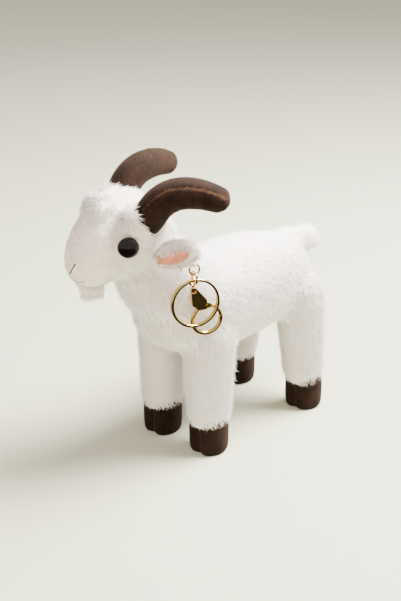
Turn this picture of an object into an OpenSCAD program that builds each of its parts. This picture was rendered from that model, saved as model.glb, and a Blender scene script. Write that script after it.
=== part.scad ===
// A stuffed plush goat with velvet horns and hooves, and a gold bag clip hung from its neck.
// Millimetres, +Z up. The goat faces -Y and its own left side is +X. It stands on Z = 0.

/* [Stance] */
// Distance from the front hooves to the hind hooves
leg_pitch = 74; // [64:1:90]
// Distance between the front hooves
front_track = 34; // [30:1:40]
// Distance between the hind hooves
hind_track = 46; // [34:1:50]
// How much farther out the right hind hoof stands than the left one
hind_splay = 4; // [0:0.5:6]
// Height of the back above the ground
back_h = 103; // [92:1:124]

/* [Torso] */
// Width of the torso
torso_w = 60; // [50:1:72]
// Height of the torso, belly to back
torso_h = 51; // [43:1:61]
// Length of the torso, chest to rump
torso_l = 119; // [112:1:134]
// How far the torso's middle lies in front of the middle of the hooves
torso_lead = 5.5; // [2:0.5:9]

/* [Legs and hooves] */
// Width of a leg just above its hoof
leg_low_d = 22.6; // [19:0.2:27]
// Width of a leg where it meets the torso
leg_top_d = 30; // [26:0.5:34]
// Width of a hoof
hoof_d = 21; // [17.5:0.2:25]
// Height of a hoof
hoof_h = 14; // [12:0.5:17]
// Depth of the cleft in the front of a hoof
cleft = 2.6; // [2:0.1:3.2]

/* [Neck and head] */
// Width of the neck at the shoulders
neck_w = 52; // [44:1:60]
// How far the head is turned to the goat's right
head_yaw = 25; // [0:1:30]
// Width of the skull
head_w = 47; // [42:1:52]
// Length of the head, nape to nose
head_l = 51; // [46:1:58]
// Height of the skull
head_h = 42; // [36:1:48]

/* [Horns, ears and tail] */
// Width of a horn at its base
horn_d = 16; // [13.8:0.1:19]
// Distance between the middles of the two horns
horn_gap = 42.5; // [37:0.5:46]
// Length of a horn along its chord
horn_l = 40; // [33:1:48]
// Length of an ear
ear_l = 24; // [20:0.5:29]
// Width of an ear
ear_w = 11.5; // [10:0.5:14]
// How far the tail reaches behind the torso
tail_l = 22; // [18:0.5:27]
// Length of the beard below the chin
beard_l = 9; // [7.5:0.5:12]

/* [Fabric and thread] */
// Thickness of the plush cloth with its pile pressed down
skin_t = 1.6; // [1.2:0.1:2.2]
// Thickness of the short velvet cloth
velvet_t = 1; // [0.8:0.1:1.4]
// Thickness of the sewing thread
thread_d = 0.9; // [0.7:0.1:1.2]

/* [Eyes] */
// Diameter of the eye's dome
eye_d = 10.4; // [8.5:0.1:12.5]
// Height of the eye's dome above its flange
eye_dome_h = 3.4; // [2.8:0.1:4.2]
// Diameter of the eye's shank
shank_d = 3.4; // [2.8:0.1:4.2]
// Length of the eye's shank
shank_l = 9; // [7.5:0.5:11]
// Diameter of the washer that locks the eye
washer_d = 12; // [10:0.5:14.5]
// Thickness of that washer
washer_t = 1.3; // [1.1:0.1:1.7]

/* [Bag clip] */
// Outer diameter of the split ring
split_d = 25; // [21:0.5:30]
// Width of the split ring's band, across the ring
split_band = 1.3; // [1.1:0.1:1.7]
// Thickness of one turn of the split ring
split_turn = 1.05; // [0.85:0.05:1.3]
// Wire diameter of the small rings
wire_d = 1; // [0.85:0.05:1.2]
// Middle diameter of the sewn loop and of the anchor ring
small_ring_d = 5.2; // [4.8:0.1:6.2]
// Height of the oblong link, between wire middles
link_h = 5; // [4.6:0.1:6]
// Width of the oblong link, between wire middles
link_w = 6.5; // [6.4:0.1:7.8]
// Middle diameter of the clasp's round loop
clasp_d = 14.8; // [12.4:0.1:17.6]
// Thickness of the clasp's bar
clasp_bar = 2.2; // [1.9:0.1:2.6]
// Diameter of the rivet that the gate turns on
gate_pin_d = 1.1; // [0.9:0.05:1.3]

/* [Clearances] */
// Space between two rings that hang in each other
ring_gap = 0.12; // [0.1:0.01:0.2]
// Radial space between a pin and its hole
pin_gap = 0.06; // [0.04:0.01:0.1]
// Space between an ear and the head
ear_gap = 0.5; // [0.4:0.1:0.8]

/* [Hidden] */

$fn = 48;
fur_white = [0.95, 0.94, 0.92];
fill_white = [0.98, 0.98, 0.98];
horn_brown = [0.24, 0.13, 0.07];
lining_pink = [0.9, 0.66, 0.58];
gold = [0.86, 0.72, 0.42];
left = 1;
right = -1;

// Where the whole goat stands, so that the origin is under the middle of its outline
frame_shift = [-1.5, 10.1, 0];

torso_z = back_h - torso_h / 2;
front_y = -leg_pitch / 2;
hind_y = leg_pitch / 2;
hoof_places = [
    [front_track / 2, front_y], [-front_track / 2, front_y],
    [hind_track / 2, hind_y], [-hind_track / 2 - hind_splay, hind_y]
];
hip_x = [front_track / 2 - 1, hind_track / 2 - 4];

// ---- Lofted soft shapes ----

function unit(v) = v / norm(v);

function spow(x, e) = sign(x) * pow(abs(x), e);

// One ring of a loft: middle c, half-width a along u, half-height b along v, squareness q
function ring(c, u, v, a, b, q = 2, n = 24) =
    [for (i = [0 : n - 1]) let (t = 360 * i / n)
        c + u * a * spow(cos(t), 2 / q) + v * b * spow(sin(t), 2 / q)];

function middle(points) = [for (k = [0 : 2]) [for (p = points) p[k]] * [for (p = points) 1] / len(points)];

// A closed solid through rings that follow each other along u x v
module loft(rings) {
    m = len(rings);
    n = len(rings[0]);
    last = (m - 1) * n;
    polyhedron(
        points = concat([for (r = rings) for (p = r) p], [middle(rings[0]), middle(rings[m - 1])]),
        faces = concat(
            [for (i = [0 : n - 1]) [i, (i + 1) % n, m * n]],
            [for (i = [0 : n - 1]) [last + (i + 1) % n, last + i, m * n + 1]],
            [for (k = [0 : m - 2]) for (i = [0 : n - 1])
                [k * n + i, (k + 1) * n + i, (k + 1) * n + (i + 1) % n]],
            [for (k = [0 : m - 2]) for (i = [0 : n - 1])
                [k * n + i, (k + 1) * n + (i + 1) % n, k * n + (i + 1) % n]]
        )
    );
}

// Cuts and joins soft shapes as one mesh
module cloth() {
    resize([0, 0, 0]) children();
}

// ---- Torso and neck ----

function torso_swell(t) = pow(1 - pow(abs(t), 3), 1 / 2.2);

module torso_form(inset) {
    half_l = torso_l / 2 - inset;
    loft([for (k = [0 : 16]) let (t = 0.994 * sin(-90 + k * 180 / 16), s = torso_swell(t))
        ring([0, -torso_lead + half_l * t, torso_z], [-1, 0, 0], [0, 0, 1],
            (torso_w / 2 - inset) * s, (torso_h / 2 - inset) * s, 2.4, 28)]);
}

chest_y = -torso_lead - torso_l / 2;
// Each neck ring: distance behind the chest, height against the torso's middle, half-width as a
// share of the neck's, half-depth, the way up its run, and how far it leans towards the head
neck_rings = [
    [44, 2, 0.92, 20, 25, 0],
    [25, 7, 1, 24.5, 45, 0],
    [12.5, 20, 0.97, 22, 55, 1],
    [6.5, 32.5, 0.82, 19, 60, 4],
    [4.5, 40, 0.62, 13, 62, 7]
];

module neck_form(inset) {
    loft([for (r = neck_rings)
        ring([-r[5], chest_y + r[0], torso_z + r[1]], [1, 0, 0], [0, sin(r[4]), cos(r[4])],
            r[2] * neck_w / 2 - inset, r[3] - inset, 2.1, 28)]);
}

module body_form(inset = 0) {
    torso_form(inset);
    neck_form(inset);
}

// ---- Head, in its own frame: +X to its left, -Y to its nose, origin in the skull ----

head_at = [-9.2, chest_y + 0.5, torso_z + 43.5];

// The head's half-width, half-height and middle height at a place from nape to nose
function head_share(place, column) = lookup(place, [for (r = head_rings) [r[0], r[column]]]);
function on_head(place, angle) = [
    head_share(place, 2) * head_w * cos(angle), -place * head_l,
    head_share(place, 1) * head_h + head_share(place, 3) * head_h * sin(angle)
];

// Each head ring: place from nape to nose, middle height, half-width and half-height, all as
// shares of the head's length, height, width and height
head_rings = [
    [-0.45, -0.06, 0.1, 0.08],
    [-0.39, -0.05, 0.29, 0.28],
    [-0.22, -0.01, 0.43, 0.43],
    [0, 0.01, 0.5, 0.49],
    [0.16, 0, 0.49, 0.51],
    [0.31, -0.05, 0.42, 0.48],
    [0.42, -0.11, 0.34, 0.44],
    [0.52, -0.18, 0.28, 0.345],
    [0.59, -0.23, 0.215, 0.225],
    [0.63, -0.25, 0.11, 0.11]
];
muzzle_from = 0.34 * head_l;

module head_place() {
    translate(head_at) rotate([0, 0, -head_yaw]) children();
}

module head_form(inset = 0) {
    loft([for (r = head_rings)
        ring([0, -r[0] * (head_l - 2 * inset), r[1] * head_h], [1, 0, 0], [0, 0, 1],
            max(r[2] * head_w - inset, 0.6), max(r[3] * head_h - inset, 0.6), 2.15, 26)]);
}

module muzzle_half(front) {
    far = 2 * head_l;
    translate([-far / 2, front ? -far - muzzle_from : -muzzle_from, -far / 2]) cube([far, far, far]);
}

// ---- Shape of each sub-part, in place ----

module body_skin() {
    color(fur_white) cloth() difference() {
        body_form();
        body_form(skin_t);
        head_place() head_form();
    }
}

module body_stuffing() {
    color(fill_white) cloth() difference() {
        body_form(skin_t);
        head_place() head_form();
    }
}

tail_w = 18;

module tail() {
    root = torso_l / 2 - torso_lead;
    z = torso_z + 0.17 * torso_h;
    color(fur_white) cloth() difference() {
        loft([for (k = [0 : 7]) let (t = k / 7, s = sqrt(1 - pow(0.97 * t, 4)))
            ring([0, root - 8 + (tail_l + 8) * t, z + 3 * sin(180 * t)], [-1, 0, 0], [0, 0, 1],
                tail_w / 2 * (0.7 + 0.3 * sin(150 * t)) * s, tail_w / 2 * s, 2, 16)]);
        body_form();
    }
}

// Rounds the top of a leg off inside the torso
function haunch(t) = t < 0.7 ? 1 : sqrt(1 - pow((t - 0.7) / 0.32, 2));

// The outline of a leg from its hoof up into the torso. Index 0 to 3 as in hoof_places.
module leg_form(i, inset = 0) {
    foot = hoof_places[i];
    side = sign(foot[0]);
    hip = side * hip_x[i < 2 ? 0 : 1];
    top = torso_z + 6;
    loft([for (k = [0 : 8]) let (t = k / 8, grown = pow(t, 0.8), s = haunch(t))
        ring([foot[0] + (hip - foot[0]) * t, foot[1] * (1 - 0.06 * t), hoof_h + (top - hoof_h) * t],
            [1, 0, 0], [0, 1, 0],
            (leg_low_d + (leg_top_d - leg_low_d) * grown) / 2 * s - inset,
            (leg_low_d + (leg_top_d + 4 - leg_low_d) * grown) / 2 * s - inset, 2.1, 22)]);
}

module leg_skin(i) {
    color(fur_white) cloth() difference() {
        leg_form(i);
        leg_form(i, skin_t);
        body_form();
        if (i % 2 == 1) leg_form(i - 1);  // a pair of wide legs meet and are sewn together
    }
}

module leg_stuffing() {
    color(fill_white) cloth() difference() {
        for (i = [0 : 3]) leg_form(i, skin_t);
        body_form();
    }
}

// One ring of a hoof, which the cleft splits at the front into two toes
function hoof_ring(place, z, r, notch, n = 28) =
    [for (i = [0 : n - 1]) let (t = 360 * i / n, off = (t > 270 ? t - 270 : 270 - t) / 16)
        [place[0], place[1], z] + (r - notch * exp(-off * off)) * [cos(t), sin(t), 0]];

module hoof_form(i, inset = 0) {
    loft([for (s = [[0, 0.86], [0.1, 0.97], [0.3, 1], [0.65, 1], [1, 0.96]])
        hoof_ring(hoof_places[i], inset + (hoof_h - inset) * s[0], hoof_d / 2 * s[1] - inset, cleft)]);
}

module hoof(i) {
    color(horn_brown) cloth() difference() {
        hoof_form(i);
        hoof_form(i, velvet_t);
    }
}

module hoof_stuffing() {
    color(fill_white) for (i = [0 : 3]) hoof_form(i, velvet_t);
}

module hoof_cleft_stitches() {
    front = hoof_d / 2 - cleft;
    color(horn_brown) cloth() difference() {
        for (place = hoof_places)
            translate([place[0], place[1] - front - thread_d / 4, 0.22 * hoof_h])
                cylinder(d = thread_d, h = 0.6 * hoof_h, $fn = 10);
        for (i = [0 : 3]) hoof_form(i);
    }
}

module head_skin() {
    color(fur_white) cloth() head_place() difference() {
        head_form();
        head_form(skin_t);
        muzzle_half(true);
        both_eyes() eye_hole();
        both_eyes() washer_space();
    }
}

module muzzle_panel() {
    color(fur_white) cloth() head_place() difference() {
        head_form();
        head_form(skin_t);
        muzzle_half(false);
    }
}

module head_stuffing() {
    color(fill_white) cloth() head_place() difference() {
        head_form(skin_t);
        both_eyes() eye_hole();
        both_eyes() washer_space();
    }
}

// The long-pile tuft between the horns and over the brow
module forelock() {
    color(fur_white) cloth() head_place() difference() {
        loft([for (k = [0 : 8]) let (t = -0.98 + 1.96 * k / 8, s = sqrt(1 - t * t))
            ring([0, -(0.25 + 0.19 * t) * head_l, (0.4 - 0.07 * t) * head_h], [1, 0, 0],
                [0, 0, 1], 0.27 * head_w * s, 0.17 * head_h * s, 2, 18)]);
        head_form();
        for (side = [left, right]) mirrored(side) horn_form();
    }
}

module beard() {
    chin = -0.5 * head_h;
    sunk = 6;
    color(fur_white) cloth() head_place() difference() {
        loft([for (k = [0 : 6]) let (t = k / 6)
            ring([0, -0.4 * head_l, chin + sunk - (beard_l + sunk) * t], [0, 1, 0], [1, 0, 0],
                8.5 - 2.5 * t * t, 3.2 - 1.4 * t, 2.2, 16)]);
        head_form();
    }
}

// ---- Horns ----

// Points of a horn's middle line as shares of its length: outward, back and up
horn_line = [
    [-0.15, -0.03, -0.2], [0, 0.03, 0], [0.05, 0.14, 0.15], [0.1, 0.28, 0.24], [0.17, 0.43, 0.27],
    [0.26, 0.58, 0.26], [0.35, 0.72, 0.22], [0.43, 0.82, 0.18], [0.45, 0.85, 0.17]
];
horn_taper = [1.02, 1, 0.98, 0.97, 0.94, 0.88, 0.78, 0.56, 0.2];
horn_seat = [horn_gap / 2, 0.03 * head_l, 0.38 * head_h];
horn_side = unit([0.85, -0.45, 0]); // across the plane that a horn curves in

// A horn in the head's frame, on the left
module horn_form(inset = 0) {
    count = len(horn_line);
    translate(horn_seat) loft([for (k = [0 : count - 1])
        let (
            run = unit(horn_line[min(k + 1, count - 1)] - horn_line[max(k - 1, 0)]),
            side = unit(cross(cross(run, horn_side), run)),
            r = max(horn_d / 2 * horn_taper[k] - inset, 0.5)
        )
        ring(horn_l * horn_line[k] - run * (k == count - 1 ? inset : 0), side, cross(run, side),
            r, r, 2, 18)]);
}

module mirrored(side) {
    if (side == left) children();
    else mirror([1, 0, 0]) children();
}

module horn_skin(side) {
    color(horn_brown) cloth() head_place() difference() {
        mirrored(side) horn_form();
        mirrored(side) horn_form(velvet_t);
        head_form();
    }
}

module horn_stuffing(side) {
    color(fill_white) cloth() head_place() difference() {
        mirrored(side) horn_form(velvet_t);
        head_form();
    }
}

// ---- Ears ----

ear_seat = [0.475 * head_w, 0.12 * head_l, -0.15 * head_h];
ear_run = unit([0.78, 0.52, 0.34]);
ear_across = unit(cross(ear_run, [0.3, -0.9, 0.1]));
ear_front = cross(ear_across, ear_run);

// One layer of an ear in the head's frame, on the left. forward is how far its middle lies in
// front of the seam that joins the layers.
module ear_layer(width, length, thick, forward) {
    loft([for (k = [0 : 8]) let (t = k / 8, w = sqrt(1 - pow(2 * t - 0.9, 2) / 1.25))
        ring(ear_seat + ear_run * length * t + ear_front * forward, ear_front, ear_across,
            thick / 2, width / 2 * w, 2.4, 14)]);
}

module ear_back(side) {
    color(fur_white) cloth() head_place() mirrored(side) difference() {
        ear_layer(ear_w, ear_l, skin_t, -skin_t / 2);
        head_form(-ear_gap);
    }
}

module ear_lining(side) {
    color(lining_pink) cloth() head_place() mirrored(side) difference() {
        ear_layer(ear_w - 3, ear_l - 3.5, velvet_t, velvet_t / 2);
        head_form(-ear_gap);
    }
}

// ---- Eyes ----

eye_at = [0.47 * head_w, -0.17 * head_l, 0.04 * head_h];
eye_turn = 14;
eye_flange = 0.5;
eye_sunk = 0.4;
washer_at = skin_t + 0.8;

// Puts a child at the left eye with +X outward
module eye_place() {
    translate(eye_at) rotate([0, 0, -eye_turn]) children();
}

module both_eyes() {
    for (side = [left, right]) mirrored(side) eye_place() children();
}

module along_x(from, length, d) {
    translate([from, 0, 0]) rotate([0, 90, 0]) cylinder(d = d, h = length);
}

module eye_hole() {
    along_x(-shank_l - pin_gap, shank_l + eye_d, shank_d + 2 * pin_gap);
    along_x(-eye_sunk - pin_gap, 2 * eye_d, eye_d + 2 * pin_gap);
}

module washer_space() {
    along_x(-washer_at - washer_t - pin_gap, washer_t + 2 * pin_gap, washer_d + 2 * pin_gap);
}

// The eye's outline from its axis out, along its shank
function eye_profile() = let (cap_r = (pow(eye_d / 2, 2) + pow(eye_dome_h, 2)) / (2 * eye_dome_h),
        reach = asin(eye_d / 2 / cap_r))
    concat(
        [[0, -shank_l], [shank_d / 2, -shank_l], [shank_d / 2, -eye_sunk], [eye_d / 2, -eye_sunk]],
        [for (k = [8 : -1 : 1]) let (t = reach * k / 8)
            [cap_r * sin(t), eye_flange + eye_dome_h - cap_r + cap_r * cos(t)]],
        [[0, eye_flange + eye_dome_h]]
    );

module eye(side) {
    color([0.03, 0.02, 0.02]) head_place() mirrored(side) eye_place()
        rotate([0, 90, 0]) rotate_extrude() polygon(eye_profile());
}

module eye_washer(side) {
    color([0.9, 0.9, 0.88]) head_place() mirrored(side) eye_place() difference() {
        along_x(-washer_at - washer_t, washer_t, washer_d);
        along_x(-washer_at - washer_t - 1, washer_t + 2, shank_d + 2 * pin_gap);
    }
}

// ---- Face stitches ----

// A thread through points, in the head's frame
module thread(points) {
    for (k = [0 : len(points) - 2]) hull() for (p = [points[k], points[k + 1]])
        translate(p) sphere(d = thread_d, $fn = 8);
}

module nostril_stitches() {
    color([0.45, 0.3, 0.26]) cloth() head_place() difference() {
        for (side = [left, right]) mirrored(side)
            thread([on_head(0.628, -40), on_head(0.6, 14)]);
        head_form();
    }
}

module mouth_stitches() {
    color([0.6, 0.47, 0.38]) cloth() head_place() difference() {
        for (side = [left, right]) mirrored(side)
            thread([on_head(0.6, -84), on_head(0.575, -62), on_head(0.53, -42)]);
        head_form();
    }
}

// ---- Bag clip, in its own frame: +X away from the neck, +Z up, origin in the sewn loop ----

clip_turn = -26;
clip_at = [0.83 * neck_w / 2 + 5.6, chest_y + 7.4, torso_z + 36.5];
loop_reach = 0.35 * neck_w;
wire_r = wire_d / 2;
hang = wire_d + ring_gap; // between the wire middles of two rings that hang in each other
loop_r = small_ring_d / 2;
anchor_z = hang - 2 * loop_r;
link_top = anchor_z - loop_r + hang;
link_bottom = link_top - link_h;
link_corner = 1.3;
turn_gap = 0.15; // between the two turns of the split ring
split_thick = 2 * split_turn + turn_gap;
split_in_r = split_d / 2 - split_band;
split_z = link_bottom + wire_r + ring_gap - split_in_r;
side_gap = 0.3; // between pieces that hang side by side on the link
plate = clasp_bar + 0.4; // thickness of the clasp's head
eye_ring_r = 1.7;
eye_ring_x = -link_w / 2 + wire_d + side_gap;
split_x = eye_ring_x + plate / 2 + side_gap + split_thick / 2;
eye_ring_z = link_bottom + hang - eye_ring_r;

module clip_place() {
    translate(clip_at) rotate([0, 0, clip_turn]) children();
}

// A ring of round wire around the X axis
module wire_ring(r) {
    rotate([0, 90, 0]) rotate_extrude() translate([r, 0]) circle(d = wire_d, $fn = 24);
}

// A doubled thread that comes out of the neck seam, turns round the anchor ring and goes back in
module sewn_loop() {
    color(fur_white) cloth() difference() {
        clip_place() {
            rotate([90, 0, 0]) rotate_extrude(angle = 180, start = -90, $fn = 32)
                translate([loop_r, 0]) circle(d = wire_d, $fn = 12);
            for (s = [-1, 1]) translate([-loop_reach, 0, s * loop_r]) rotate([0, 90, 0])
                cylinder(d = wire_d, h = loop_reach + 0.01, $fn = 12);
        }
        body_form();
        head_place() head_form();
    }
}

module anchor_ring() {
    color(gold) clip_place() translate([0, 0, anchor_z]) wire_ring(loop_r);
}

module oblong_link() {
    w = link_w / 2 - link_corner;
    h = link_h / 2 - link_corner;
    color(gold) clip_place() translate([0, 0, (link_top + link_bottom) / 2]) rotate([90, 0, 0]) {
        for (s = [-1, 1]) {
            translate([s * link_w / 2, -h, 0]) rotate([-90, 0, 0]) cylinder(d = wire_d, h = 2 * h);
            translate([-w, s * link_h / 2, 0]) rotate([0, 90, 0]) cylinder(d = wire_d, h = 2 * w);
        }
        for (k = [0 : 3]) translate([(k == 0 || k == 3 ? w : -w), (k < 2 ? h : -h), 0])
            rotate_extrude(angle = 90, start = 90 * k) translate([link_corner, 0]) circle(d = wire_d);
    }
}

// Part of a band of the split ring, standing on its edge
module band(thick, angle) {
    rotate_extrude(angle = angle) translate([split_in_r, 0]) square([split_band, thick]);
}

module split_ring() {
    color(gold) clip_place() translate([split_x - split_thick / 2, 0, split_z]) rotate([0, 90, 0]) {
        band(split_turn, 360);
        translate([0, 0, split_turn + turn_gap]) band(split_turn, 360);
        band(split_thick, 24);
    }
}

// ---- Clasp, in the clip's frame, with the origin in the middle of the swivel's eye ----

clasp_r = clasp_d / 2;
stem_d = 1.4;
head_top = -eye_ring_r - wire_r - 0.5;
collar_h = 1.6;
rivet_h = 0.7;
rivet_d = 2.2;
window_h = rivet_h + 2 * pin_gap + 0.3;
window_top = head_top - collar_h;
spine_y = -0.5;
loop_at = [spine_y + clasp_r, head_top - 10.4 - clasp_r];
pivot_angle = 88;
pivot = loop_at + clasp_r * [cos(pivot_angle), sin(pivot_angle)];
knuckle_r = 1.8;
gate_bar = clasp_bar - 0.3;
gate_plate = 0.9;
slot = gate_plate + 2 * 0.12;
tip_angle = 12;
tip_r = norm(loop_at + clasp_r * [cos(tip_angle), sin(tip_angle)] - pivot);
tip_gap = 0.2;

module clasp_place() {
    clip_place() translate([eye_ring_x, 0, eye_ring_z]) children();
}

// A flat shape drawn as (sideways, up), with its thickness along X
module upright(thick) {
    translate([-thick / 2, 0, 0]) rotate([90, 0, 90]) linear_extrude(thick) children();
}

// Part of the clasp's round loop between two angles, counted from sideways to up
module loop_arc(from, to, bar) {
    translate([0, loop_at[0], loop_at[1]]) rotate([90, 0, 90])
        rotate_extrude(angle = to - from, start = from) translate([clasp_r, 0]) circle(d = bar);
}

// A disc or pin around the gate's pivot
module at_pivot(r, length) {
    translate([-length / 2, pivot[0], pivot[1]]) rotate([0, 90, 0]) cylinder(r = r, h = length);
}

module clasp_swivel() {
    stem_low = window_top - pin_gap;
    color(gold) clasp_place() {
        wire_ring(eye_ring_r);
        translate([0, 0, stem_low]) cylinder(d = stem_d, h = -eye_ring_r - stem_low);
        translate([0, 0, stem_low - rivet_h]) cylinder(d = rivet_d, h = rivet_h);
    }
}

module clasp_body() {
    reach = 4 * clasp_d;
    color(gold) clasp_place() difference() {
        union() {
            loop_arc(112, 385, clasp_bar);
            upright(plate) hull() {
                translate([0, head_top - 1.2]) circle(r = 1.5);
                translate([spine_y + 1.1, head_top - 8.6]) circle(r = 1.6);
                translate(loop_at + clasp_r * [cos(118), sin(118)]) circle(r = clasp_bar / 2);
                translate(pivot) circle(r = knuckle_r);
            }
            translate([0, 0, head_top - collar_h]) cylinder(d = 3, h = collar_h);
        }
        translate([0, 0, window_top - 1]) cylinder(d = stem_d + 2 * pin_gap, h = collar_h + 2);
        upright(2 * plate) translate([-rivet_d / 2 - 0.1, window_top - window_h])
            square([rivet_d + 0.2, window_h]);
        at_pivot(gate_pin_d / 2, 2 * plate);
        at_pivot(knuckle_r + 0.35, slot);
        // the hook's end follows the swing of the gate's tip
        intersection() {
            at_pivot(tip_r + tip_gap, 2 * plate);
            translate([-plate, loop_at[0], loop_at[1] - 1]) cube([2 * plate, reach, reach]);
        }
    }
}

module clasp_gate() {
    root = 76;
    thumb = loop_at + (clasp_r + gate_bar / 2) * [cos(46), sin(46)];
    color(gold) clasp_place() {
        difference() {
            union() {
                intersection() {
                    loop_arc(tip_angle - 8, root - 8, gate_bar);
                    at_pivot(tip_r, 2 * plate);
                }
                upright(gate_plate) hull() {
                    translate(pivot) circle(r = knuckle_r - 0.2);
                    translate(loop_at + clasp_r * [cos(root - 12), sin(root - 12)]) circle(r = gate_bar / 2 - 0.1);
                }
                upright(gate_bar - 0.4) hull() {
                    translate(thumb + [-0.5, -0.4]) circle(r = 0.7);
                    translate(thumb + [0.7, 1.9]) circle(r = 0.6);
                }
            }
            at_pivot(gate_pin_d / 2 + pin_gap, 2 * plate);
        }
    }
}

module gate_pin() {
    color(gold) clasp_place() at_pivot(gate_pin_d / 2, plate);
}

// A bent leaf round the gate's knuckle, in the head's slot, that pushes the gate shut
module gate_spring() {
    leaf_w = gate_plate - 0.1;
    leaf_t = 0.2;
    color(gold) clasp_place() translate([-leaf_w / 2, pivot[0], pivot[1]]) rotate([90, 0, 90])
        rotate_extrude(angle = 110, start = 125) translate([knuckle_r - 0.08, 0]) square([leaf_t, leaf_w]);
}

module placed() {
    translate(frame_shift) children();
}

placed() body_skin();
placed() body_stuffing();
placed() tail();
placed() leg_skin(0);  // front_left_leg_skin
placed() leg_skin(1);  // front_right_leg_skin
placed() leg_skin(2);  // hind_left_leg_skin
placed() leg_skin(3);  // hind_right_leg_skin
placed() leg_stuffing();
placed() hoof(0);  // front_left_hoof
placed() hoof(1);  // front_right_hoof
placed() hoof(2);  // hind_left_hoof
placed() hoof(3);  // hind_right_hoof
placed() hoof_stuffing();
placed() hoof_cleft_stitches();
placed() head_skin();
placed() muzzle_panel();
placed() head_stuffing();
placed() forelock();
placed() beard();
placed() horn_skin(left);  // left_horn_skin
placed() horn_skin(right);  // right_horn_skin
placed() horn_stuffing(left);  // left_horn_stuffing
placed() horn_stuffing(right);  // right_horn_stuffing
placed() ear_back(left);  // left_ear_back
placed() ear_lining(left);  // left_ear_lining
placed() ear_back(right);  // right_ear_back
placed() ear_lining(right);  // right_ear_lining
placed() eye(left);  // left_eye
placed() eye(right);  // right_eye
placed() eye_washer(left);  // left_eye_washer
placed() eye_washer(right);  // right_eye_washer
placed() nostril_stitches();
placed() mouth_stitches();
placed() sewn_loop();
placed() anchor_ring();
placed() oblong_link();
placed() split_ring();
placed() clasp_swivel();
placed() clasp_body();
placed() clasp_gate();
placed() gate_pin();
placed() gate_spring();
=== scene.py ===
from math import atan2, cos, pi, radians, sin, sqrt

import bpy
import numpy as np
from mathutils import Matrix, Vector
from mathutils.bvhtree import BVHTree


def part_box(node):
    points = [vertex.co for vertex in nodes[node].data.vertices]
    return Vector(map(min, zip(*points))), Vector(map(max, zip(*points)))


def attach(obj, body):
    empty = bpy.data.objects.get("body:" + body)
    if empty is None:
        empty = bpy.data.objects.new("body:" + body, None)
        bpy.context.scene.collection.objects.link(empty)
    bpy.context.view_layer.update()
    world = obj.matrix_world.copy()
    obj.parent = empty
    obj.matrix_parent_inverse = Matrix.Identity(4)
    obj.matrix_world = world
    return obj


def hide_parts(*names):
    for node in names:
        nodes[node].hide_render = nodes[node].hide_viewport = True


MM = 0.001

HOOF_SHOWN = 17.5 * MM  # how high the brown shows on a leg before the pile hangs over it
# hairs per square millimetre
PER_MM2 = {
    "muzzle_panel": 8.0, "head_skin": 4.4, "forelock": 4.4, "tail": 3.8, "body_skin": 4.2, "legs": 7.0,
}
TAIL_ROOT = (11 * MM, 14 * MM, 8 * MM)  # half sizes of the plush that runs from the rump into the tail
BEARD_STRETCH = 1.25  # how much further up than the sewn beard its tuft starts
STITCH_BARE = 0.9 * MM  # how far the pile stays from a stitch
HAIRS_EACH = 60000  # the most hairs that one piece holds
SKIN_SUNK = 2.6 * MM  # how deep the cloth lies under the tips of the long pile
MUZZLE_SUNK = -0.2 * MM  # the smoothing draws the muzzle in by more than its short pile adds
HEAD_L, HEAD_W, HEAD_H = 51 * MM, 47 * MM, 42 * MM
MUZZLE_FROM = 0.34 * HEAD_L

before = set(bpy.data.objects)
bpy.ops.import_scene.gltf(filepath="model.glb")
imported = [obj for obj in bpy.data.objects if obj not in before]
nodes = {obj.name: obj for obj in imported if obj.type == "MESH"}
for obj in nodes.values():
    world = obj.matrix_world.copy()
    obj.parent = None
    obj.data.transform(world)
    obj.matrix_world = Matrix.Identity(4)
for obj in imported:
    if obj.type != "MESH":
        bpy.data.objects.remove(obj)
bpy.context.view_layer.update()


# ---------------------------------------------------------------- camera, light and floor


def camera():
    """Stands where the photograph's camera stood: 600 mm off, 41 degrees round, 22 degrees up."""
    turn, rise, far = radians(41.1), radians(21.7), 600 * MM
    target = Vector((-1.5, 10.1, 75)) * MM
    away = Vector((sin(turn) * cos(rise), -cos(turn) * cos(rise), sin(rise)))
    data = bpy.data.cameras.new("camera")
    data.sensor_fit = "HORIZONTAL"
    data.sensor_width = 36
    data.lens = 99.65
    data.shift_x = -30.16 / 401
    data.shift_y = -10.5 / 401
    data.clip_start = 0.01
    cam = bpy.data.objects.new("camera", data)
    cam.location = target + far * away
    cam.rotation_euler = away.to_track_quat("Z", "Y").to_euler()
    bpy.context.scene.collection.objects.link(cam)
    bpy.context.scene.camera = cam


def area_light(name, place, at, size, power, colour=(1, 1, 1)):
    data = bpy.data.lights.new(name, "AREA")
    data.shape = "DISK"
    data.size = size
    data.energy = power
    data.color = colour
    light = bpy.data.objects.new(name, data)
    light.location = place
    light.rotation_euler = (Vector(place) - Vector(at)).to_track_quat("Z", "Y").to_euler()
    bpy.context.scene.collection.objects.link(light)
    return light


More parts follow.
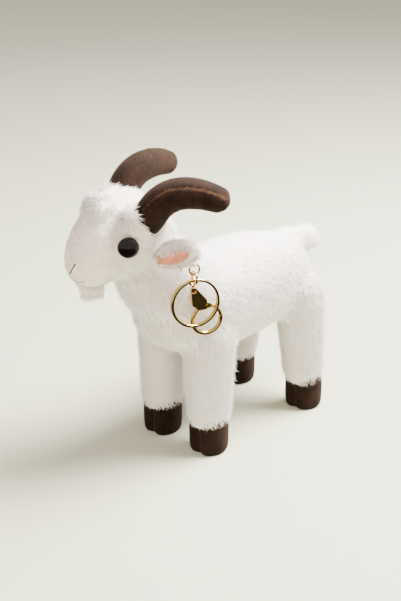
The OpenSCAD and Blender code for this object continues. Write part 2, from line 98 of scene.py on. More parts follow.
def studio():
    """A pale room of light, dark below the horizon so that the metal has something to mirror."""
    world = bpy.data.worlds.new("studio")
    bpy.context.scene.world = world
    world.use_nodes = True
    tree = world.node_tree
    coords = tree.nodes.new("ShaderNodeTexCoord")
    facing = tree.nodes.new("ShaderNodeVectorMath")
    facing.operation = "DOT_PRODUCT"
    facing.inputs[1].default_value = (0, 0, -1)
    shade = tree.nodes.new("ShaderNodeValToRGB")
    room, below = shade.color_ramp.elements
    room.position, room.color = 0.03, (1, 0.975, 0.935, 1)
    below.position, below.color = 0.25, (0.05, 0.045, 0.04, 1)
    tree.links.new(coords.outputs["Generated"], facing.inputs[0])
    tree.links.new(facing.outputs["Value"], shade.inputs["Fac"])
    tree.links.new(shade.outputs["Color"], tree.nodes["Background"].inputs["Color"])
    tree.nodes["Background"].inputs["Strength"].default_value = 0.9
    area_light("key", (0.25, 0.35, 0.75), (0, 0, 0.08), 0.55, 60, (1, 0.985, 0.95))
    fill = area_light("fill", (0.35, -0.75, 0.7), (0, 0, 0.08), 0.7, 8, (1, 0.86, 0.79))
    fill.visible_glossy = False  # so that neither the eyes nor the metal mirror it


def floor():
    """A plain pale sheet that reaches past the horizon of every view."""
    edge, count = 6.0, 48
    rim = [(edge * cos(2 * pi * k / count), edge * sin(2 * pi * k / count), 0) for k in range(count)]
    obj = piece("floor", rim, [range(count)], material_floor())
    obj.visible_glossy = False  # the metal mirrors the darker room instead


# ---------------------------------------------------------------- materials


def new_material(name):
    mat = bpy.data.materials.new(name)
    mat.use_nodes = True
    return mat, mat.node_tree, mat.node_tree.nodes["Principled BSDF"]


def noise_between(tree, scale, low, high, into=None):
    """A noise of that scale, and the colour that it makes between two colours."""
    coords = tree.nodes.new("ShaderNodeTexCoord")
    noise = tree.nodes.new("ShaderNodeTexNoise")
    noise.inputs["Scale"].default_value = scale
    noise.inputs["Detail"].default_value = 3.0
    ramp = tree.nodes.new("ShaderNodeValToRGB")
    for element, place, colour in zip(ramp.color_ramp.elements, (0.35, 0.65), (low, high)):
        element.position = place
        element.color = (*colour, 1)
    tree.links.new(coords.outputs["Object"], noise.inputs["Vector"])
    tree.links.new(noise.outputs["Fac"], ramp.inputs["Fac"])
    if into is not None:
        tree.links.new(ramp.outputs["Color"], into)
    return noise


def bump(tree, shader, height, strength, distance):
    node = tree.nodes.new("ShaderNodeBump")
    node.inputs["Strength"].default_value = strength
    node.inputs["Distance"].default_value = distance
    tree.links.new(height, node.inputs["Height"])
    tree.links.new(node.outputs["Normal"], shader.inputs["Normal"])


def fabric(name, low, high, scale, sheen=0.4, tint=(1, 1, 1)):
    """Matt cloth or thread whose colour wanders between two, with a fine grain and a soft sheen."""
    mat, tree, shader = new_material(name)
    noise_between(tree, scale, low, high, into=shader.inputs["Base Color"])
    shader.inputs["Roughness"].default_value = 0.9
    shader.inputs["Specular IOR Level"].default_value = 0.2
    shader.inputs["Sheen Weight"].default_value = sheen
    shader.inputs["Sheen Roughness"].default_value = 0.5
    shader.inputs["Sheen Tint"].default_value = (*tint, 1)
    fine = noise_between(tree, 2500, (0, 0, 0), (1, 1, 1))
    bump(tree, shader, fine.outputs["Fac"], 0.5, 0.15 * MM)
    return mat


def material_floor():
    mat, tree, shader = new_material("paper")
    noise_between(tree, 3.0, (0.52, 0.52, 0.385), (0.54, 0.54, 0.40), into=shader.inputs["Base Color"])
    shader.inputs["Roughness"].default_value = 0.9
    return mat


def material_gold():
    mat, tree, shader = new_material("gold")
    noise_between(tree, 900, (0.80, 0.56, 0.17), (0.87, 0.63, 0.22), into=shader.inputs["Base Color"])
    shader.inputs["Metallic"].default_value = 1
    shader.inputs["Roughness"].default_value = 0.15
    noise = noise_between(tree, 500, (0, 0, 0), (1, 1, 1))
    bump(tree, shader, noise.outputs["Fac"], 0.15, 0.05 * MM)
    return mat


def material_eye():
    mat, tree, shader = new_material("eye")
    base = shader.inputs["Base Color"]
    noise_between(tree, 300, (0.002, 0.0015, 0.0015), (0.006, 0.004, 0.003), into=base)
    shader.inputs["Roughness"].default_value = 0.08
    shader.inputs["Specular IOR Level"].default_value = 0.4
    return mat


# ---------------------------------------------------------------- mesh tools


def piece(name, points, faces, material, smooth=True):
    mesh = bpy.data.meshes.new(name)
    mesh.from_pydata([tuple(p) for p in points], [], [tuple(f) for f in faces])
    mesh.update()
    if smooth:
        mesh.polygons.foreach_set("use_smooth", [True] * len(mesh.polygons))
    obj = bpy.data.objects.new(name, mesh)
    bpy.context.scene.collection.objects.link(obj)
    mesh.materials.append(material)
    return obj


def arrays(mesh):
    """A mesh's points, normals and triangles."""
    mesh.calc_loop_triangles()
    points = np.zeros(len(mesh.vertices) * 3)
    normals = np.zeros(len(mesh.vertices) * 3)
    tris = np.zeros(len(mesh.loop_triangles) * 3, np.int64)
    mesh.vertices.foreach_get("co", points)
    mesh.vertices.foreach_get("normal", normals)
    mesh.loop_triangles.foreach_get("vertices", tris)
    return points.reshape(-1, 3), normals.reshape(-1, 3), tris.reshape(-1, 3)


def modified(obj, kind, **values):
    """Applies one modifier to an object."""
    mod = obj.modifiers.new(kind, kind)
    for key, value in values.items():
        setattr(mod, key, value)
    depsgraph = bpy.context.evaluated_depsgraph_get()
    mesh = bpy.data.meshes.new_from_object(obj.evaluated_get(depsgraph))
    obj.modifiers.clear()
    old = obj.data
    obj.data = mesh
    bpy.data.meshes.remove(old)
    return obj


def joined(name, members, material, extra=()):
    """One mesh that holds copies of several CAD nodes, and any extra (points, triangles)."""
    solids = [arrays(nodes[n].data)[::2] for n in members] + list(extra)
    starts = np.cumsum([0] + [len(p) for p, _ in solids])
    faces = [t + start for (_, t), start in zip(solids, starts)]
    return piece(name, np.vstack([p for p, _ in solids]), np.vstack(faces), material)


def ball(mid, radii, rows=14, cols=24):
    """A closed ball as points and triangles."""
    points, faces = [], []
    for i in range(rows + 1):
        for j in range(cols):
            a, b = pi * i / rows, 2 * pi * j / cols
            points.append(mid + np.array(radii) * (sin(a) * cos(b), sin(a) * sin(b), cos(a)))
    for i in range(rows):
        for j in range(cols):
            a, b, k = i * cols + j, (i + 1) * cols + j, (j + 1) % cols
            faces += [(a, b, (i + 1) * cols + k), (a, (i + 1) * cols + k, i * cols + k)]
    return np.array(points), np.array(faces)


def largest_island(obj):
    """Drops every part of the mesh but the one with the widest box."""
    points, _, tris = arrays(obj.data)
    label = np.arange(len(points))
    while True:
        low = label[tris].min(axis=1)
        new = label.copy()
        for k in range(3):
            np.minimum.at(new, tris[:, k], low)
        new = new[new]
        if (new == label).all():
            break
        label = new
    kinds = np.unique(label)
    spans = [np.ptp(points[label == k], axis=0).sum() for k in kinds]
    keep = label == kinds[int(np.argmax(spans))]
    index = np.cumsum(keep) - 1
    faces = [
        [int(index[v]) for v in p.vertices] for p in obj.data.polygons if keep[p.vertices[0]]
    ]
    mat = obj.data.materials[0]
    name = obj.name
    bpy.data.objects.remove(obj)
    return piece(name, points[keep], faces, mat)


def smoothed(obj, rounds, factor=0.5):
    return modified(obj, "SMOOTH", iterations=rounds, factor=factor)


def remeshed(name, members, material, voxel, rounds, extra=()):
    obj = joined(name, members, material, extra)
    modified(obj, "REMESH", mode="VOXEL", voxel_size=voxel, use_smooth_shade=True)
    obj = largest_island(obj)
    return smoothed(obj, rounds)


def set_points(obj, points):
    obj.data.vertices.foreach_set("co", np.asarray(points, float).ravel())
    obj.data.update()


def tree_of(name):
    points, _, tris = arrays(nodes[name].data)
    return BVHTree.FromPolygons([tuple(p) for p in points], [tuple(int(i) for i in t) for t in tris])


def ramp(x, low, high):
    t = np.clip((x - low) / (high - low), 0, 1)
    return t * t * (3 - 2 * t)


def unit(v):
    v = np.asarray(v, float)
    return v / np.maximum(np.linalg.norm(v, axis=-1, keepdims=True), 1e-9)


def waves(points, scale, seed, count=7):
    """A smooth seeded pattern from -1 to 1, as wide as scale."""
    rng = np.random.default_rng(seed)
    total = np.zeros(len(points))
    for _ in range(count):
        k = unit(rng.normal(size=3)) * 2 * pi / scale * rng.uniform(0.6, 1.6)
        total += np.sin(points @ k + rng.uniform(0, 2 * pi))
    return total / sqrt(count) / 1.2


# ---------------------------------------------------------------- the head's frame


def centre(node):
    low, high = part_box(node)
    return (low + high) / 2


EYE_L, EYE_R = centre("left_eye"), centre("right_eye")
HEAD_X = (EYE_L - EYE_R).normalized()
HEAD_Z = Vector((0, 0, 1))
HEAD_Y = HEAD_Z.cross(HEAD_X)
HEAD_MID = (EYE_L + EYE_R) / 2 + HEAD_Y * 0.17 * HEAD_L - HEAD_Z * 0.04 * HEAD_H
TO_HEAD = np.array([HEAD_X, HEAD_Y, HEAD_Z])
ORIGIN = np.array(HEAD_MID)


def in_head(points):
    """Points of the row's frame in the head's frame: X to its left, -Y to its nose."""
    return (np.asarray(points) - ORIGIN) @ TO_HEAD.T


def from_head(points):
    return np.asarray(points) @ TO_HEAD + ORIGIN


def head_way(x, y, z):
    """A direction of the head's frame in the row's frame."""
    return np.array([x, y, z]) @ TO_HEAD


# ---------------------------------------------------------------- pile


def scatter(points, normals, tris, per_mm2, seed):
    """Seeded roots spread evenly over triangles, with their normals."""
    rng = np.random.default_rng(seed)
    a, b, c = (points[tris[:, k]] for k in range(3))
    area = np.linalg.norm(np.cross(b - a, c - a), axis=1) / 2
    count = int(area.sum() * 1e6 * per_mm2)
    which = np.searchsorted(np.cumsum(area) / area.sum(), rng.uniform(size=count))
    which = np.minimum(which, len(tris) - 1)
    u, v = rng.uniform(size=count), rng.uniform(size=count)
    flip = u + v > 1
    u[flip], v[flip] = 1 - u[flip], 1 - v[flip]
    w = np.stack([1 - u - v, u, v], axis=1)[:, :, None]
    corner = tris[which]
    return (points[corner] * w).sum(axis=1), unit((normals[corner] * w).sum(axis=1))


def pile(
    name, body, material, roots, normals, length, lift, comb, width, seed,
    droop=0.0, ruffle=0.35, clump=5 * MM, soft=0.7,
):
    """Hairs as thin bent ribbons. length and lift are one value or one per root: how long a hair is
    and how far it stands up. comb is the way it lies, ruffle how far it strays from that, clump how
    wide the tufts are, and soft how much of the cloth's own shading it takes."""
    rng = np.random.default_rng(seed)
    count = len(roots)
    length = np.broadcast_to(np.asarray(length, float), count)[:, None]
    lift = np.broadcast_to(np.asarray(lift, float), count)[:, None]
    comb = np.broadcast_to(np.asarray(comb, float), (count, 3))
    lay = unit(comb - (comb * normals).sum(axis=1, keepdims=True) * normals)
    wander = np.stack([waves(roots, clump, seed + k) for k in range(3)], axis=1)
    stray = rng.normal(size=(count, 3))
    long = length * (1 + 0.16 * rng.normal(size=(count, 1)) + 0.10 * wander[:, :1])
    long = np.clip(long, 0.4 * length, 1.35 * length)
    first = unit(normals * lift + lay + ruffle * (0.3 * wander + 0.6 * stray))
    second = unit(normals * lift * 0.35 + lay + ruffle * (0.35 * wander + 0.65 * stray) + [0, 0, -droop])
    low = roots - normals * 0.3 * MM
    mid = low + first * long * 0.5
    tip = mid + second * long * 0.5
    across = unit(np.cross(first, normals))
    turn = rng.uniform(-0.7, 0.7, size=(count, 1))
    across = unit(across * np.cos(turn) + np.cross(first, across) * np.sin(turn)) * width / 2
    waist = across * 0.8
    verts = np.stack([low - across, low + across, mid - waist, mid + waist, tip], axis=1).reshape(-1, 3)
    base = (np.arange(count) * 5)[:, None]
    corners = (base + np.array([[0, 1, 3, 2, 2, 3, 4]])).ravel()
    mesh = bpy.data.meshes.new(name)
    mesh.vertices.add(len(verts))
    mesh.vertices.foreach_set("co", verts.ravel())
    mesh.loops.add(len(corners))
    mesh.loops.foreach_set("vertex_index", corners.astype(np.int32))
    mesh.polygons.add(count * 2)
    starts = (np.arange(count) * 7)[:, None] + np.array([[0, 4]])
    mesh.polygons.foreach_set("loop_start", starts.ravel().astype(np.int32))
    mesh.update(calc_edges=True)
    mesh.polygons.foreach_set("use_smooth", np.ones(count * 2, bool))
    shade = [unit(normals * soft + d * (1 - soft)) for d in (first * 0, first * 0, first, first, second)]
    shade = np.stack([unit(s) for s in shade], axis=1).reshape(-1, 3)
    mesh.normals_split_custom_set_from_vertices(shade)
    mesh.materials.append(material)
    obj = bpy.data.objects.new(name, mesh)
    bpy.context.scene.collection.objects.link(obj)
    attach(obj, body)
    return obj


def blocked(points, names):
    """True for each point that lies inside one of the CAD nodes."""
    out = np.zeros(len(points), bool)
    for n in names:
        low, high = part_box(n)
        tree = tree_of(n)
        near = np.all((points > np.array(low)) & (points < np.array(high)), axis=1) & ~out
        for i in np.nonzero(near)[0]:
            place, normal, _, _ = tree.find_nearest(Vector(points[i]))
            out[i] = (Vector(points[i]) - place).dot(normal) < 0
    return out


def near(points, names, gap):
    """True for each point that lies within a gap of one of the CAD nodes."""
    trees = [tree_of(n) for n in names]
    return np.array([any(t.find_nearest(Vector(p), gap)[0] is not None for t in trees) for p in points])


# ---------------------------------------------------------------- the plush animal

LEGS = ["front_left_leg_skin", "front_right_leg_skin", "hind_left_leg_skin", "hind_right_leg_skin"]
REGIONS = ["body_skin", *LEGS, "head_skin", "muzzle_panel", "tail", "forelock"]
INSIDE = {
    "body_skin": ("body_stuffing", "leg_stuffing"),
    "head_skin": ("head_stuffing", "left_eye_washer", "right_eye_washer"),
}


def plush_form(material):
    """The whole soft outline as one smooth mesh, so that the sewn pieces meet without a step."""
    members = [*REGIONS, "body_stuffing", "leg_stuffing", "head_stuffing"]
    collars = []
    for side in (1, -1):
        points, faces = ball((HORN_SEAT + HORN_COLLAR_OFF) * [side, 1, 1], HORN_COLLAR)
        collars.append((from_head(points), faces))
    low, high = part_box("tail")
    root = np.array([(low[0] + high[0]) / 2, low[1], high[2] - 7 * MM])
    return remeshed("form", members, material, 1.3 * MM, 20, [*collars, ball(root, TAIL_ROOT)])


def regions_of(points):
    """For each point, which of REGIONS' nodes lies nearest."""
    best = np.full(len(points), 1.0)
    which = np.zeros(len(points), int)
    for k, n in enumerate(REGIONS):
        tree = tree_of(n)
        for i, p in enumerate(points):
            _, _, _, gap = tree.find_nearest(Vector(p), float(best[i]))
            if gap is not None and gap < best[i]:
                best[i], which[i] = gap, k
    return which


def part_of(form_mesh, faces, name, material):
    """A piece made of some of the form's faces."""
    points, _, _ = arrays(form_mesh)
    used = np.unique(np.concatenate([list(f) for f in faces]))
    index = {int(v): i for i, v in enumerate(used)}
    return piece(name, points[used], [[index[int(v)] for v in f] for f in faces], material)


def sunk_depth(points):
    """How deep the cloth lies under the outline: little on the muzzle, more under the long pile."""
    h = in_head(points)
    on_head = (np.abs(h[:, 0]) < 0.6 * HEAD_W) & (h[:, 2] > -0.56 * HEAD_H)
    muzzle = ramp(-h[:, 1], MUZZLE_FROM - 4 * MM, MUZZLE_FROM + 3 * MM) * on_head
    depth = SKIN_SUNK * (1 - muzzle) + MUZZLE_SUNK * muzzle
    foot = 1 - ramp(points[:, 2], 15 * MM, 30 * MM)
    return depth * (1 - 0.3 * foot)


def goat_cloth(cloth):
    """The plush backing, one piece per sewn panel. Returns the whole form and the panel of each face."""
    form = plush_form(cloth)
    points, normals, _ = arrays(form.data)
    set_points(form, points - normals * sunk_depth(points)[:, None])
    smoothed(form, 3)
    which = regions_of(np.array([p.center for p in form.data.polygons]))
    for k, n in enumerate(REGIONS):
        faces = [tuple(form.data.polygons[i].vertices) for i in np.nonzero(which == k)[0]]
        part = part_of(form.data, faces, n.replace("_skin", "") + "_cloth", cloth)
        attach(part, "goat")
        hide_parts(n, *INSIDE.get(n, ()))
    return form, which


def goat_pile(form, which, hair, muzzle_hair):
    """Long pile over the animal, short on the muzzle, combed back and down."""
    points, normals, _ = arrays(form.data)
    faces = [tuple(p.vertices) for p in form.data.polygons]
    horns = ["left_horn_skin", "right_horn_skin", "left_horn_stuffing", "right_horn_stuffing"]
    for k, n in enumerate(REGIONS):
        mine = [faces[i] for i in np.nonzero(which == k)[0]]
        tris = np.array([(f[0], f[j], f[j + 1]) for f in mine for j in range(1, len(f) - 1)])
        roots, norms = scatter(points, normals, tris, PER_MM2.get(n, PER_MM2["legs"]), 100 + k)
        h = in_head(roots)
        keep = ~blocked(roots, horns)
        if n in LEGS:
            keep &= roots[:, 2] > HOOF_SHOWN
        if n == "muzzle_panel":
            keep &= ~near(roots, ("nostril_stitches", "mouth_stitches"), STITCH_BARE)
        keep &= eye_gap(h) > 6.0 * MM
        roots, norms, h = roots[keep], norms[keep], h[keep]
        length, lift, comb, droop, width = hair_shape(n, roots, h)
        length = np.broadcast_to(length, len(roots))
        bunches = np.array_split(np.argsort(roots[:, 0]), len(roots) // HAIRS_EACH + 1)
        for b, some in enumerate(bunches):
            name = n.replace("_skin", "") + "_pile" + (f"_{b + 1}" if len(bunches) > 1 else "")
            own = muzzle_hair if n == "muzzle_panel" else hair
            stand = np.broadcast_to(lift, len(roots))[some]
            ruffle = 0.25 if n == "muzzle_panel" else 0.45
            pile(
                name, "goat", own, roots[some], norms[some], length[some], stand, comb, width,
                200 + 10 * k, droop=droop, ruffle=ruffle, clump=3 * MM,
            )


def eye_gap(h):
    """How far points of the head's frame lie from the nearer eye."""
    return np.minimum(*(np.linalg.norm(h - in_head(np.array(e)), axis=1) for e in (EYE_L, EYE_R)))


def hair_shape(n, roots, h):
    """Length, lift, comb, droop and width of one region's hairs. h is their place in the head's frame."""
    if n == "muzzle_panel":
        return 1.5 * MM, 0.5, head_way(0, 1.0, -0.25), 0.0, 0.22 * MM
    if n == "head_skin":
        short = 1 - ramp(eye_gap(h), 7 * MM, 13 * MM)
        front = ramp(-h[:, 1], MUZZLE_FROM - 7 * MM, MUZZLE_FROM)
        return (4.8 - 2.4 * short) * (1 - 0.35 * front) * MM, 1.0, head_way(0, 0.8, -0.6), 0.12, 0.27 * MM
    if n == "forelock":
        front = ramp(-h[:, 1], 0.3 * HEAD_L, 0.45 * HEAD_L)
        return (4.6 - 1.4 * front) * MM, 1.2, head_way(0, -0.3, -0.9), 0.1, 0.27 * MM
    if n == "tail":
        return 4.8 * MM, 1.1, (0, 0.7, -0.7), 0.15, 0.28 * MM
    if n in LEGS:
        foot = 1 - ramp(roots[:, 2], HOOF_SHOWN, HOOF_SHOWN + 9 * MM)
        return (4.2 - 1.9 * foot) * MM, 1.2 - 0.4 * foot, (0, 0, -1), 0.1, 0.22 * MM
    return 4.2 * MM, 1.6, (0, 0.4, -0.9), 0.1, 0.27 * MM


def beard(cloth, hair):
    """A short tuft of the same plush under the chin."""
    obj = remeshed("beard_cloth", ["beard"], cloth, 0.8 * MM, 6)
    points, normals, _ = arrays(obj.data)
    points -= normals * 1.2 * MM
    points[:, 2] = points[:, 2].min() + (points[:, 2] - points[:, 2].min()) * BEARD_STRETCH
    set_points(obj, points)
    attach(obj, "goat")
    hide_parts("beard")
    roots, norms = scatter(*arrays(obj.data), 9.0, 71)
    pile(
        "beard_pile", "goat", hair, roots, norms, 3.6 * MM, 0.6, (0, 0, -1), 0.25 * MM, 72,
        droop=0.2, ruffle=0.5,
    )


# ---------------------------------------------------------------- hooves and horns


def hooves(velvet, nap):
    for n in ("front_left_hoof", "front_right_hoof", "hind_left_hoof", "hind_right_hoof"):
        low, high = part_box(n)
        mid = np.array((low + high) / 2)
        obj = joined(n + "_velvet", [n], velvet)
        points, _, _ = arrays(obj.data)
        points[:, 2] *= (HOOF_SHOWN + 3 * MM) / high[2]
        set_points(obj, points)
        modified(obj, "REMESH", mode="VOXEL", voxel_size=0.6 * MM, use_smooth_shade=True)
        obj = smoothed(largest_island(obj), 9)
        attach(obj, "goat")
        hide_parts(n)
        points, normals, tris = arrays(obj.data)
        side = points[tris].mean(axis=1)
        outer = (np.linalg.norm((side - mid)[:, :2], axis=1) > 6 * MM) & (side[:, 2] > 0.5 * MM)
        roots, norms = scatter(points, normals, tris[outer], 6.0, 31)
        keep = ((roots - mid)[:, :2] * norms[:, :2]).sum(axis=1) > 0
        pile(
            n + "_nap", "goat", nap, roots[keep], norms[keep], 0.9 * MM, 0.5, (0, 0, -1), 0.2 * MM, 33,
            soft=0.8,
        )


HORN_LINE = [
    (-0.08, -0.01, -0.09), (0, 0.03, 0), (0.05, 0.14, 0.15), (0.1, 0.28, 0.24), (0.17, 0.43, 0.27),
    (0.26, 0.58, 0.26), (0.35, 0.72, 0.22), (0.43, 0.82, 0.18), (0.455, 0.85, 0.17),
]
HORN_TAPER = [1.0, 1, 0.98, 0.97, 0.94, 0.88, 0.8, 0.72, 0.64]
SEAM_AT = radians(56)  # round a horn from the top of its curve to its seam
TIP_L = 5.5 * MM  # the end of a horn that rounds off
HORN_L, HORN_R = 40 * MM, 8 * MM
HORN_SEAT = np.array([21.25 * MM, 0.03 * HEAD_L, 0.38 * HEAD_H])
HORN_COLLAR = (11 * MM, 13 * MM, 10.5 * MM)  # half sizes of the plush that swells round a horn's foot
HORN_COLLAR_OFF = np.array([-2.6, -1.2, -3.0]) * MM
HORN_SIDE = unit([0.85, -0.45, 0])


def spline(values, t):
    """A smooth curve through evenly spaced values, at t from 0 to 1."""
    values = np.asarray(values, float)
    x = t * (len(values) - 1)
    k = int(min(x, len(values) - 2))
    f = x - k
    a, b, c, d = (values[min(max(k + j, 0), len(values) - 1)] for j in (-1, 0, 1, 2))
    bend = (2 * a - 5 * b + 4 * c - d) * f * f + (3 * b - a - 3 * c + d) * f**3
    return 0.5 * (2 * b + (c - a) * f + bend)


def horn(side, velvet, nap, seam_nap):
    """A stuffed velvet horn with a seam sunk along its outer side, under the top of the curve."""
    name = "left_horn" if side > 0 else "right_horn"
    rings, around = 70, 56
    walk = [spline(HORN_LINE, t) * HORN_L for t in np.linspace(0, 1, 200)]
    gone = np.concatenate([[0], np.cumsum(np.linalg.norm(np.diff(walk, axis=0), axis=1))])
    points, seams = [], []
    for i in range(rings):
        left = gone[-1] * (1 - i / (rings - 1)) ** 1.5
        t = float(np.interp(gone[-1] - left, gone, np.linspace(0, 1, 200)))
        at = spline(HORN_LINE, t) * HORN_L
        run = unit(spline(HORN_LINE, min(t + 0.02, 1)) - spline(HORN_LINE, max(t - 0.02, 0)))
        out = unit(np.cross(np.cross(run, HORN_SIDE), run))
        up = np.cross(out, run)
        tip = max(1 - left / TIP_L, 0)
        r = HORN_R * float(spline(np.array(HORN_TAPER)[:, None], t)[0]) * max(sqrt(1 - tip * tip), 0.02)
        for j in range(around):
            a = 2 * pi * j / around
            gap = abs(a - SEAM_AT)
            groove = 0.075 * np.exp(-((gap / 0.10) ** 2))
            points.append(HORN_SEAT + at + r * (1 - groove) * (cos(a) * up + sin(a) * out))
            if gap < pi / around and t > 0.1 and left > 1.5 * MM:
                seams.append((points[-1].copy(), cos(a) * up + sin(a) * out))
    points = np.array(points) * [side, 1, 1]
    faces = []
    for i in range(rings - 1):
        for j in range(around):
            k = (j + 1) % around
            f = (i * around + j, i * around + k, (i + 1) * around + k, (i + 1) * around + j)
            faces.append(f if side > 0 else f[::-1])
    for start, flip in ((0, True), ((rings - 1) * around, False)):
        cap = tuple(range(start, start + around))
        faces.append(cap[::-1] if flip == (side > 0) else cap)
    obj = piece(name + "_velvet", from_head(points), faces, velvet)
    if signed_volume(obj) < 0:
        obj.data.flip_normals()
    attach(obj, "goat")
    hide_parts(name + "_skin", name + "_stuffing")
    roots, norms = scatter(*arrays(obj.data), 7.0, 51)
    rootward = head_way(0.1 * side, 0.8, 0.25)
    pile(
        name + "_nap", "goat", nap, roots, norms, 1.1 * MM, 0.55, rootward, 0.2 * MM, 53,
        soft=0.75,
    )
    base = np.array([s[0] for s in seams]) * [side, 1, 1]
    look = np.array([s[1] for s in seams]) * [side, 1, 1]
    rng = np.random.default_rng(57)
    each = 26
    roots = np.repeat(from_head(base), each, axis=0) + rng.normal(size=(len(base) * each, 3)) * 0.45 * MM
    norms = np.repeat(unit(look @ TO_HEAD), each, axis=0)
    pile(
        name + "_seam_fringe", "goat", seam_nap, roots, norms, 1.3 * MM, 1.6, rootward, 0.17 * MM, 58,
        ruffle=0.8, soft=0.5,
    )
    return obj


def signed_volume(obj):
    points, _, tris = arrays(obj.data)
    a, b, c = (points[tris[:, k]] for k in range(3))
    return float((a * np.cross(b, c)).sum() / 6)


# ---------------------------------------------------------------- ears

EAR_SEAT = np.array([0.475 * HEAD_W, 0.12 * HEAD_L, -0.15 * HEAD_H])
EAR_RUN = unit([0.78, 0.52, 0.34])
EAR_ACROSS = unit(np.cross(EAR_RUN, [0.3, -0.9, 0.1]))
EAR_FRONT = np.cross(EAR_ACROSS, EAR_RUN)
EAR_L, EAR_W = 24 * MM, 12 * MM
EAR_FOLD = 0.85


def ear_sheet(side, width, length, forward, thick, across):
    """A closed sheet folded lengthwise. across is the stretch from the upper edge, -1, to the lower, 1."""
    rows, cols = 30, 28
    front, back = [], []
    for i in range(rows):
        t = i / (rows - 1)
        w = width / 2 * sqrt(max(1 - (2 * t - 0.9) ** 2 / 1.25, 0.02)) * (1 - 0.25 * (1 - t) ** 4)
        fold = EAR_FOLD * (1 - 0.45 * t)
        for v in np.linspace(*across, cols):
            turn = v * fold * (1.25 if v < 0 else 0.85)
            radius = w / max(fold, 0.2)
            mid = EAR_SEAT + EAR_RUN * length * t + EAR_FRONT * forward
            for store, depth in ((front, thick / 2), (back, -thick / 2)):
                r = radius - depth
                store.append(mid + EAR_ACROSS * r * sin(turn) + EAR_FRONT * (radius - r * cos(turn)))
    n = rows * cols
    faces = []
    for i in range(rows - 1):
        for j in range(cols - 1):
            a, b, c, d = i * cols + j, i * cols + j + 1, (i + 1) * cols + j + 1, (i + 1) * cols + j
            faces += [(a, b, c, d), (n + a, n + d, n + c, n + b)]
    edge = [i * cols for i in range(rows)] + [(rows - 1) * cols + j for j in range(1, cols)]
    edge += [i * cols + cols - 1 for i in range(rows - 2, -1, -1)] + [j for j in range(cols - 2, 0, -1)]
    faces += [(a, b, n + b, n + a) for a, b in zip(edge, edge[1:] + edge[:1])]
    return from_head(np.array(front + back) * [side, 1, 1]), faces


def ear(side, cloth, hair, lining, lining_nap):
    """A plush back whose upper edge folds over, with a bare pink lining in its lower half."""
    name = "left_ear" if side > 0 else "right_ear"
    mirror = np.array([side, 1, 1])
    run, facing, across = ((way * mirror) @ TO_HEAD for way in (EAR_RUN, EAR_FRONT, EAR_ACROSS))
    seat = from_head([EAR_SEAT * mirror])[0]
    for part, width, length, forward, thick, stretch, material in (
        ("back", EAR_W, EAR_L - 1.5 * MM, -0.8 * MM, 2.2 * MM, (-1, 1), cloth),
        ("lining", EAR_W - 1.5 * MM, EAR_L - 5 * MM, 0.75 * MM, 0.6 * MM, (-0.45, 0.8), lining),
    ):
        sheet = ear_sheet(side, width, length, forward, thick, stretch)
        obj = piece(f"{name}_{part}_cloth", *sheet, material)
        if signed_volume(obj) < 0:
            obj.data.flip_normals()
        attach(obj, name)
        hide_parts(f"{name}_{part}")
        roots, norms = scatter(*arrays(obj.data), 9.0, 61)
        front = norms @ facing
        if part == "back":
            place = (roots - seat) @ across / (EAR_W / 2)
            keep = (front < 0.35) | (place < -0.15) | (place > 0.6)
            long = np.where(front > 0.35, 2.8, 3.0) * MM
            norms = unit(norms + 0.7 * facing * (front > -0.5)[:, None])  # the rim's pile stands forward
            pile(
                f"{name}_back_pile", name, hair, roots[keep], norms[keep], long[keep], 1.3, run,
                0.26 * MM, 63, ruffle=0.6,
            )
        else:
            keep = front > -0.1
            pile(
                f"{name}_lining_nap", name, lining_nap, roots[keep], norms[keep], 1.2 * MM, 0.5, run,
                0.2 * MM, 64,
            )


# ---------------------------------------------------------------- eyes, stitches and metal


def eyes(material):
    for side, name in ((1, "left_eye"), (-1, "right_eye")):
        out = (np.array([cos(radians(14)), -sin(radians(14)), 0]) * [side, 1, 1]) @ TO_HEAD
        at = from_head(np.array([[side * 0.47 * HEAD_W, -0.17 * HEAD_L, 0.04 * HEAD_H]]))[0]
        u = unit(np.cross([0, 0, 1], out))
        v = np.cross(out, u)
        r, dome = 5.2 * MM, 3.4 * MM
        cap_r = (r * r + dome * dome) / (2 * dome)
        reach = atan2(r, cap_r - dome)
        shank_r, shank_end = 1.7 * MM, -8.8 * MM
        profile = [(0.0, shank_end), (shank_r, shank_end), (shank_r, -0.5 * MM)]
        profile += [(r - 0.3 * MM, -0.4 * MM), (r, -0.1 * MM), (r, 0.35 * MM)]
        top = 0.5 * MM + dome - cap_r
        profile += [(cap_r * sin(a), top + cap_r * cos(a)) for a in np.linspace(reach, 0.0, 22)]
        count = 64
        points, faces = [], []
        for d, h in profile:
            for j in range(count):
                a = 2 * pi * j / count
                points.append(at + out * h + d * (u * cos(a) + v * sin(a)))
        for i in range(len(profile) - 1):
            for j in range(count):
                k = (j + 1) % count
                faces.append((i * count + j, i * count + k, (i + 1) * count + k, (i + 1) * count + j))
        obj = piece(name + "_dome", points, faces, material)
        modified(obj, "WELD", merge_threshold=0.01 * MM)
        if signed_volume(obj) < 0:
            obj.data.flip_normals()
        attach(obj, "goat")
        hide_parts(name)


def cast(name, body, material, voxel, rounds):
    """A cast metal piece: the CAD solid with its corners rounded as casting and plating leave them."""
    obj = remeshed(name + "_cast", [name], material, voxel, rounds)
    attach(obj, body)
    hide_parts(name)


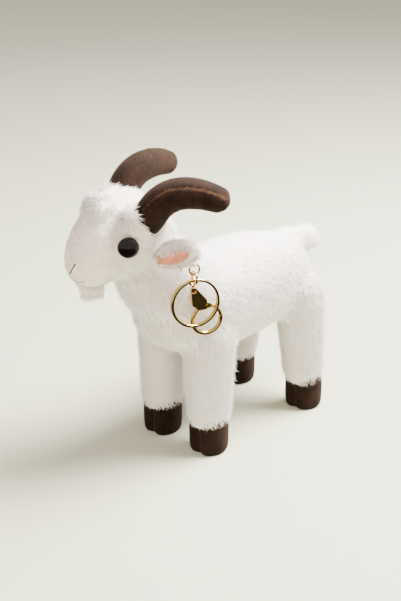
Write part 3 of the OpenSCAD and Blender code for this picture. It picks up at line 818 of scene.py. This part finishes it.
def coil(material):
    """The split ring: two turns of flat wire with eased edges, which step aside for each other halfway."""
    low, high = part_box("split_ring")
    mid = np.array((low + high) / 2)
    turn = radians(-26)
    e1, e2, ez = np.array([[cos(turn), sin(turn), 0], [-sin(turn), cos(turn), 0], [0, 0, 1]])
    band, thick, gap = 1.3 * MM, 1.05 * MM, 0.15 * MM
    r_mid = 12.5 * MM - band / 2
    outline = []
    ease = 0.28 * MM
    for sx, sy, a0 in ((1, 1, 0), (-1, 1, 90), (-1, -1, 180), (1, -1, 270)):
        for a in (0, 22.5, 45, 67.5, 90):
            b = radians(a0 + a)
            x, y = sx * (band / 2 - ease), sy * (thick / 2 - ease)
            outline.append((x + ease * cos(b), y + ease * sin(b)))
    steps = 260
    points, faces = [], []
    m = len(outline)
    for i in range(steps + 1):
        t = i / steps
        angle = 2 * pi * 2 * t * 0.997
        step = float(ramp(np.array(t), 0.475, 0.525))
        shift = (step - 0.5) * (thick + gap)
        a = angle + radians(100)
        radial = e2 * cos(a) + ez * sin(a)
        for x, y in outline:
            points.append(mid + radial * (r_mid + x) + e1 * (shift + y))
    for i in range(steps):
        for j in range(m):
            k = (j + 1) % m
            faces.append((i * m + j, i * m + k, (i + 1) * m + k, (i + 1) * m + j))
    faces += [tuple(range(m))[::-1], tuple(range(steps * m, steps * m + m))]
    obj = piece("split_ring_coil", points, faces, material)
    if signed_volume(obj) < 0:
        obj.data.flip_normals()
    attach(obj, "split_ring")
    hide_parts("split_ring")


def keep_nodes(materials):
    """CAD nodes whose shape is right get their detailed material."""
    for n, mat in materials.items():
        data = nodes[n].data
        if not data.materials:
            data.materials.append(mat)
        for i in range(len(data.materials)):
            data.materials[i] = mat


def main():
    camera()
    studio()
    floor()
    # the backing is tinted warmer and darker than the pile: painted shade that shows through the gaps
    # between the hairs, here and on the ear backs and the beard
    cloth = fabric("plush_backing_painted_shade", (0.84, 0.70, 0.59), (0.90, 0.78, 0.68), 40)
    hair = fabric("plush_pile", (0.955, 0.865, 0.81), (0.98, 0.92, 0.88), 60, sheen=0.2)
    muzzle_hair = fabric("muzzle_pile", (0.88, 0.76, 0.69), (0.93, 0.85, 0.79), 70, sheen=0.25)
    goat_pile(*goat_cloth(cloth), hair, muzzle_hair)
    bpy.data.objects.remove(bpy.data.objects["form"])
    beard(cloth, hair)
    velvet = fabric("velvet", (0.007, 0.0027, 0.001), (0.016, 0.006, 0.0022), 180, 0.05, (1, 0.6, 0.4))
    nap = fabric("velvet_nap", (0.006, 0.0023, 0.0008), (0.045, 0.017, 0.0055), 420, 0.05, (1, 0.65, 0.45))
    seam = ((0.035, 0.016, 0.008), (0.10, 0.048, 0.022))
    seam_nap = fabric("velvet_seam_nap", *seam, 400, 0.15, (1, 0.7, 0.5))
    lining = fabric("lining", (0.62, 0.19, 0.11), (0.72, 0.27, 0.17), 200, sheen=0.3)
    lining_nap = fabric("lining_nap", (0.78, 0.32, 0.21), (0.88, 0.47, 0.35), 200, sheen=0.3)
    hooves(velvet, nap)
    for side in (1, -1):
        horn(side, velvet, nap, seam_nap)
        ear(side, cloth, hair, lining, lining_nap)
    eyes(material_eye())
    gold = material_gold()
    coil(gold)
    cast("clasp_body", "clasp", gold, 0.16 * MM, 7)
    cast("clasp_gate", "clasp_gate", gold, 0.14 * MM, 5)
    thread = fabric("thread", (0.09, 0.045, 0.03), (0.16, 0.085, 0.06), 900, sheen=0.2)
    thread_white = fabric("thread_white", (0.75, 0.72, 0.66), (0.85, 0.83, 0.78), 900, sheen=0.2)
    thread_dark = fabric("thread_dark", (0.006, 0.003, 0.002), (0.014, 0.007, 0.004), 900, sheen=0.05)
    filling = fabric("filling", (0.85, 0.85, 0.84), (0.92, 0.92, 0.91), 300)
    keep_nodes({
        **dict.fromkeys(("anchor_ring", "oblong_link", "clasp_swivel", "gate_pin", "gate_spring"), gold),
        "nostril_stitches": thread_dark, "mouth_stitches": thread, "hoof_cleft_stitches": thread_dark,
        "sewn_loop": thread_white, "hoof_stuffing": filling,
    })


main()
